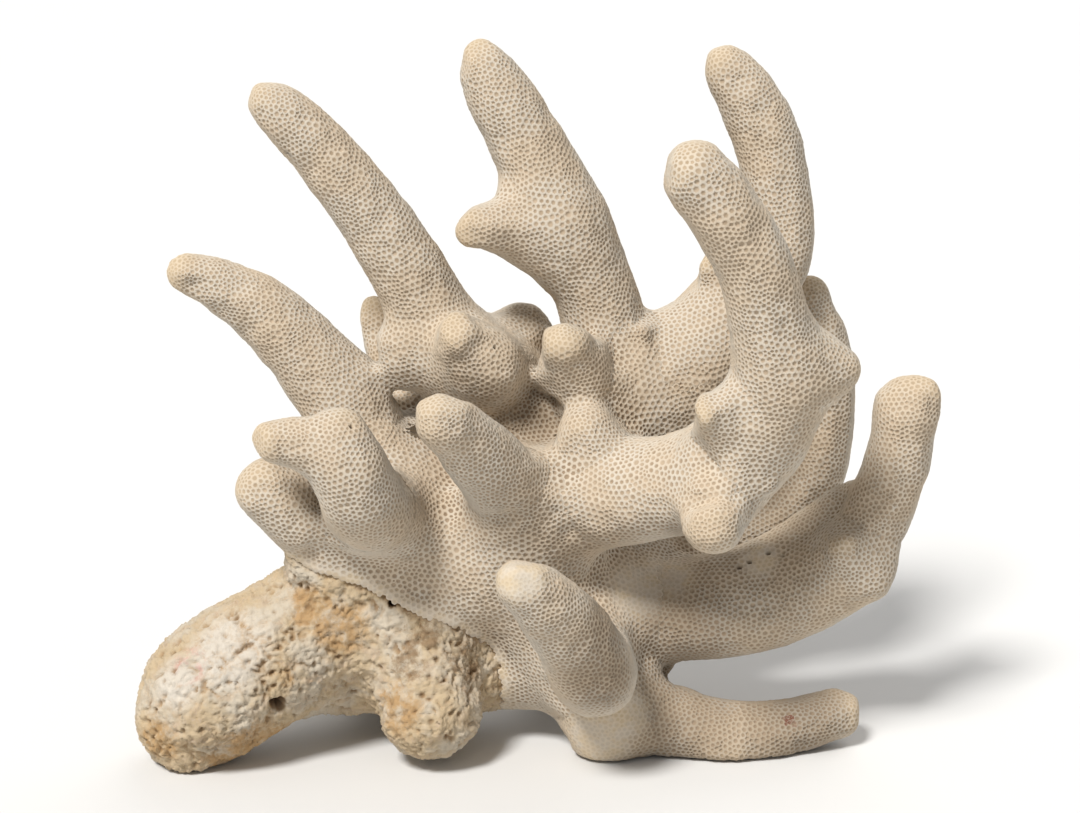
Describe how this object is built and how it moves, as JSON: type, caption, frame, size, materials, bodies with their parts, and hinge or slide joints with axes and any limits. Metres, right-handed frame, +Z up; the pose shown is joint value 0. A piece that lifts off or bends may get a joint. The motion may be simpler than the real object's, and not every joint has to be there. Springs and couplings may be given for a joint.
{
  "type": "branching coral",
  "caption": "Dry branching finger coral skeleton: blunt curved fingers and knobs rising from a worn base that rests on flat cuts.",
  "frame": {"origin": "middle of the underside's level, at the centre of the bounding box's bottom", "axes": "+X from the worn base towards the lower arm and the floor finger, +Y away from the picture's camera, +Z up"},
  "size_m": [0.2034, 0.1092, 0.1806],
  "materials": {
    "live_skin": "dull stony calcium carbonate with small closely packed cells",
    "worn_stone": "dull worn stone, cream with ochre stains"
  },
  "bodies": {
    "root": {"double_knob": "live_skin", "floor_finger": "live_skin", "front_arm": "live_skin", "front_finger": "live_skin", "hidden_finger": "live_skin", "leaning_finger": "live_skin", "left_finger": "live_skin", "left_knob": "live_skin", "low_knob": "live_skin", "lower_arm": "live_skin", "lower_finger": "live_skin", "middle_knob": "live_skin", "middle_stem": "live_skin", "rear_arm": "live_skin", "rear_foot": "live_skin", "rear_left_finger": "live_skin", "rear_middle_finger": "live_skin", "rear_right_finger": "live_skin", "short_knob": "live_skin", "tall_left_finger": "live_skin", "tall_middle_finger": "live_skin", "tall_right_finger": "live_skin", "trunk": "live_skin", "under_finger": "live_skin", "worn_base": "worn_stone"}
  },
  "joints": []
}
